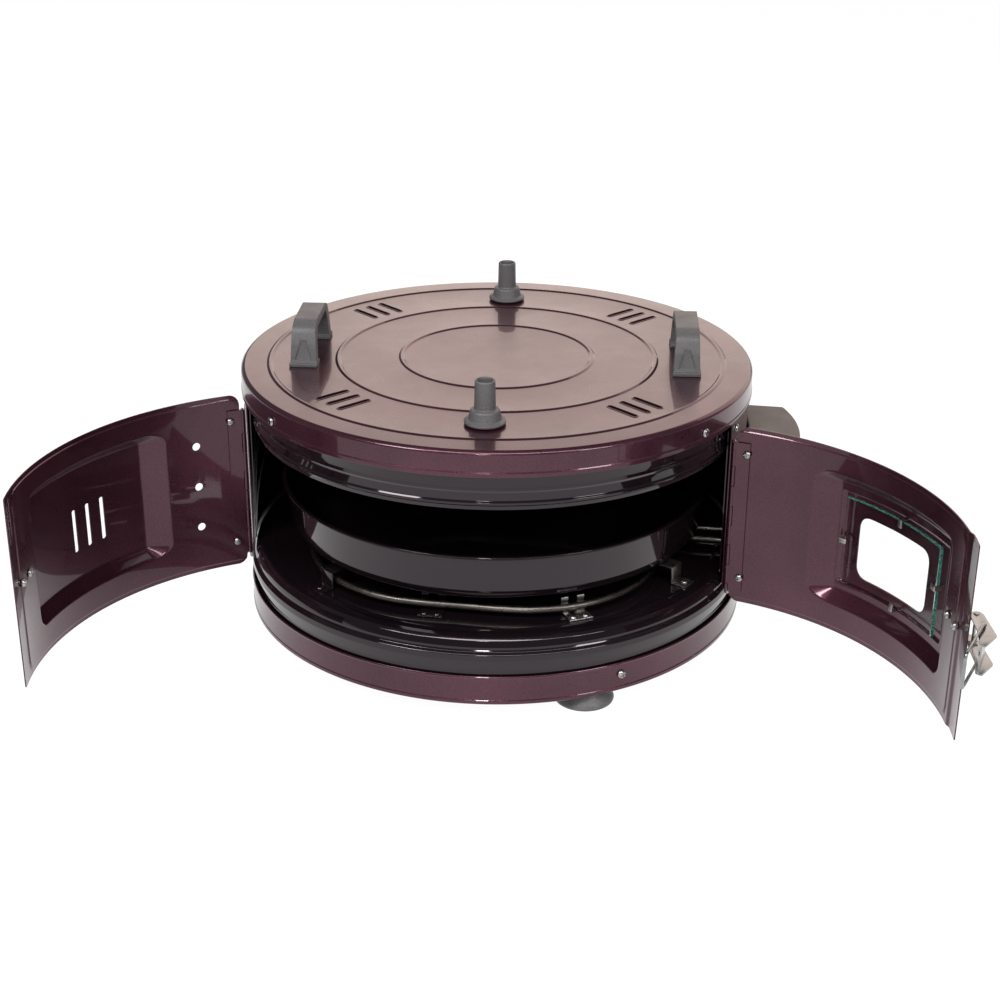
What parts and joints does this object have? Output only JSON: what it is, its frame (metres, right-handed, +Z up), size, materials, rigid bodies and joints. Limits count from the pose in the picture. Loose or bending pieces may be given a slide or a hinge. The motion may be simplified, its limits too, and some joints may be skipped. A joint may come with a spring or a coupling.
{
  "type": "drum oven",
  "caption": "Round electric drum oven with a pressed lid, two curved doors on pin hinges, toggle latch, heating elements and a deep round tray.",
  "frame": {"origin": "centre of the flat disc pressed into the underside of the base cover, on the drum's axis, 15.5 mm above the worktop", "axes": "+Z up along the drum's axis, -Y towards the front between the doors, +X to the oven's right as the user faces it, where the controls are"},
  "size_m": [0.7694, 0.5602, 0.2815],
  "materials": {
    "cherry_paint": "gloss metallic sour-cherry enamel paint",
    "black_enamel": "gloss black vitreous enamel",
    "dark_plastic": "satin dark grey heat-resistant plastic",
    "housing_paint": "satin grey-brown paint",
    "zinc_steel": "bright zinc-plated steel",
    "bright_plating": "bright plated",
    "clear_glass": "clear tempered glass with a green edge",
    "lamp_lens": "translucent amber lens",
    "black_rubber": "matt"
  },
  "bodies": {
    "oven_body": {"lid": "cherry_paint", "upper_pan": "black_enamel", "lower_pan": "black_enamel", "base_cover": "cherry_paint", "outer_wall": "cherry_paint", "inner_wall": "black_enamel", "handle_left": "dark_plastic", "handle_right": "dark_plastic", "steam_vent_front": "dark_plastic", "steam_vent_rear": "dark_plastic", "foot_front_right": "dark_plastic", "foot_rear_right": "dark_plastic", "foot_left": "dark_plastic", "lid_screw_front_left": "zinc_steel", "lid_screw_front_right": "zinc_steel", "lid_screw_rear_left": "zinc_steel", "lid_screw_rear_right": "zinc_steel", "base_screw_front": "zinc_steel", "base_screw_rear": "zinc_steel", "base_screw_left": "zinc_steel", "upper_element": "zinc_steel", "lower_element": "zinc_steel", "element_clip_left": "black_enamel", "element_clip_right": "zinc_steel", "upper_element_hanger": "zinc_steel", "tray_rest_front_right": "zinc_steel", "tray_rest_rear_right": "zinc_steel", "tray_rest_rear_left": "black_enamel", "tray_rest_front_left": "black_enamel", "left_hinge_body_leaf": "cherry_paint", "right_hinge_body_leaf": "cherry_paint", "left_hinge_pin": "zinc_steel", "right_hinge_pin": "zinc_steel", "control_housing": "housing_paint", "thermostat": "zinc_steel", "selector_switch": "dark_plastic", "indicator_lamp": "lamp_lens", "cord_inlet": "black_rubber"},
    "left_door": {"left_door_panel": "cherry_paint", "left_hinge_door_leaf": "cherry_paint", "left_leaf_screw_lower": "zinc_steel", "left_leaf_screw_upper": "zinc_steel", "keeper": "bright_plating", "keeper_rivet_1": "zinc_steel", "keeper_rivet_2": "zinc_steel"},
    "right_door": {"right_door_panel": "cherry_paint", "right_hinge_door_leaf": "cherry_paint", "right_leaf_screw_lower": "zinc_steel", "right_leaf_screw_upper": "zinc_steel", "window_glass": "clear_glass", "latch_base": "bright_plating", "latch_pin": "bright_plating", "latch_rivet_1": "zinc_steel", "latch_rivet_2": "zinc_steel"},
    "latch_lever": {"latch_lever": "bright_plating"},
    "latch_bail": {"latch_bail": "bright_plating"},
    "baking_tray": {"baking_tray": "black_enamel"},
    "thermostat_knob": {"thermostat_knob": "dark_plastic"},
    "selector_knob": {"selector_knob": "dark_plastic"}
  },
  "joints": [
    {"name": "left_door_hinge", "type": "hinge", "parent": "oven_body", "child": "left_door", "pos_m": [-0.21969, -0.07138, 0.122], "axis": [0, 0, 1], "range_deg": [-20, 78.5]},
    {"name": "right_door_hinge", "type": "hinge", "parent": "oven_body", "child": "right_door", "pos_m": [0.21969, -0.07138, 0.122], "axis": [0, 0, -1], "range_deg": [-4, 96]},
    {"name": "latch_lever_pivot", "type": "hinge", "parent": "right_door", "child": "latch_lever", "pos_m": [0.41213, -0.25639, 0.1215], "axis": [0, 0, 1], "range_deg": [0, 168]},
    {"name": "latch_bail_pivot", "type": "hinge", "parent": "latch_lever", "child": "latch_bail", "pos_m": [0.41646, -0.27438, 0.1215], "axis": [0, 0, 1], "range_deg": [0, 206.8]},
    {"name": "tray_slide", "type": "slide", "parent": "oven_body", "child": "baking_tray", "axis": [0, 1, 0], "range_m": [-0.33, 0]},
    {"name": "thermostat_knob_turn", "type": "hinge", "parent": "oven_body", "child": "thermostat_knob", "pos_m": [0.27554, 0.01205, 0.136], "axis": [-0.9971, -0.0767, 0], "range_deg": [0, 270]},
    {"name": "selector_knob_turn", "type": "hinge", "parent": "oven_body", "child": "selector_knob", "pos_m": [0.27554, 0.01205, 0.08], "axis": [-0.9971, -0.0767, 0], "range_deg": [0, 135]}
  ]
}
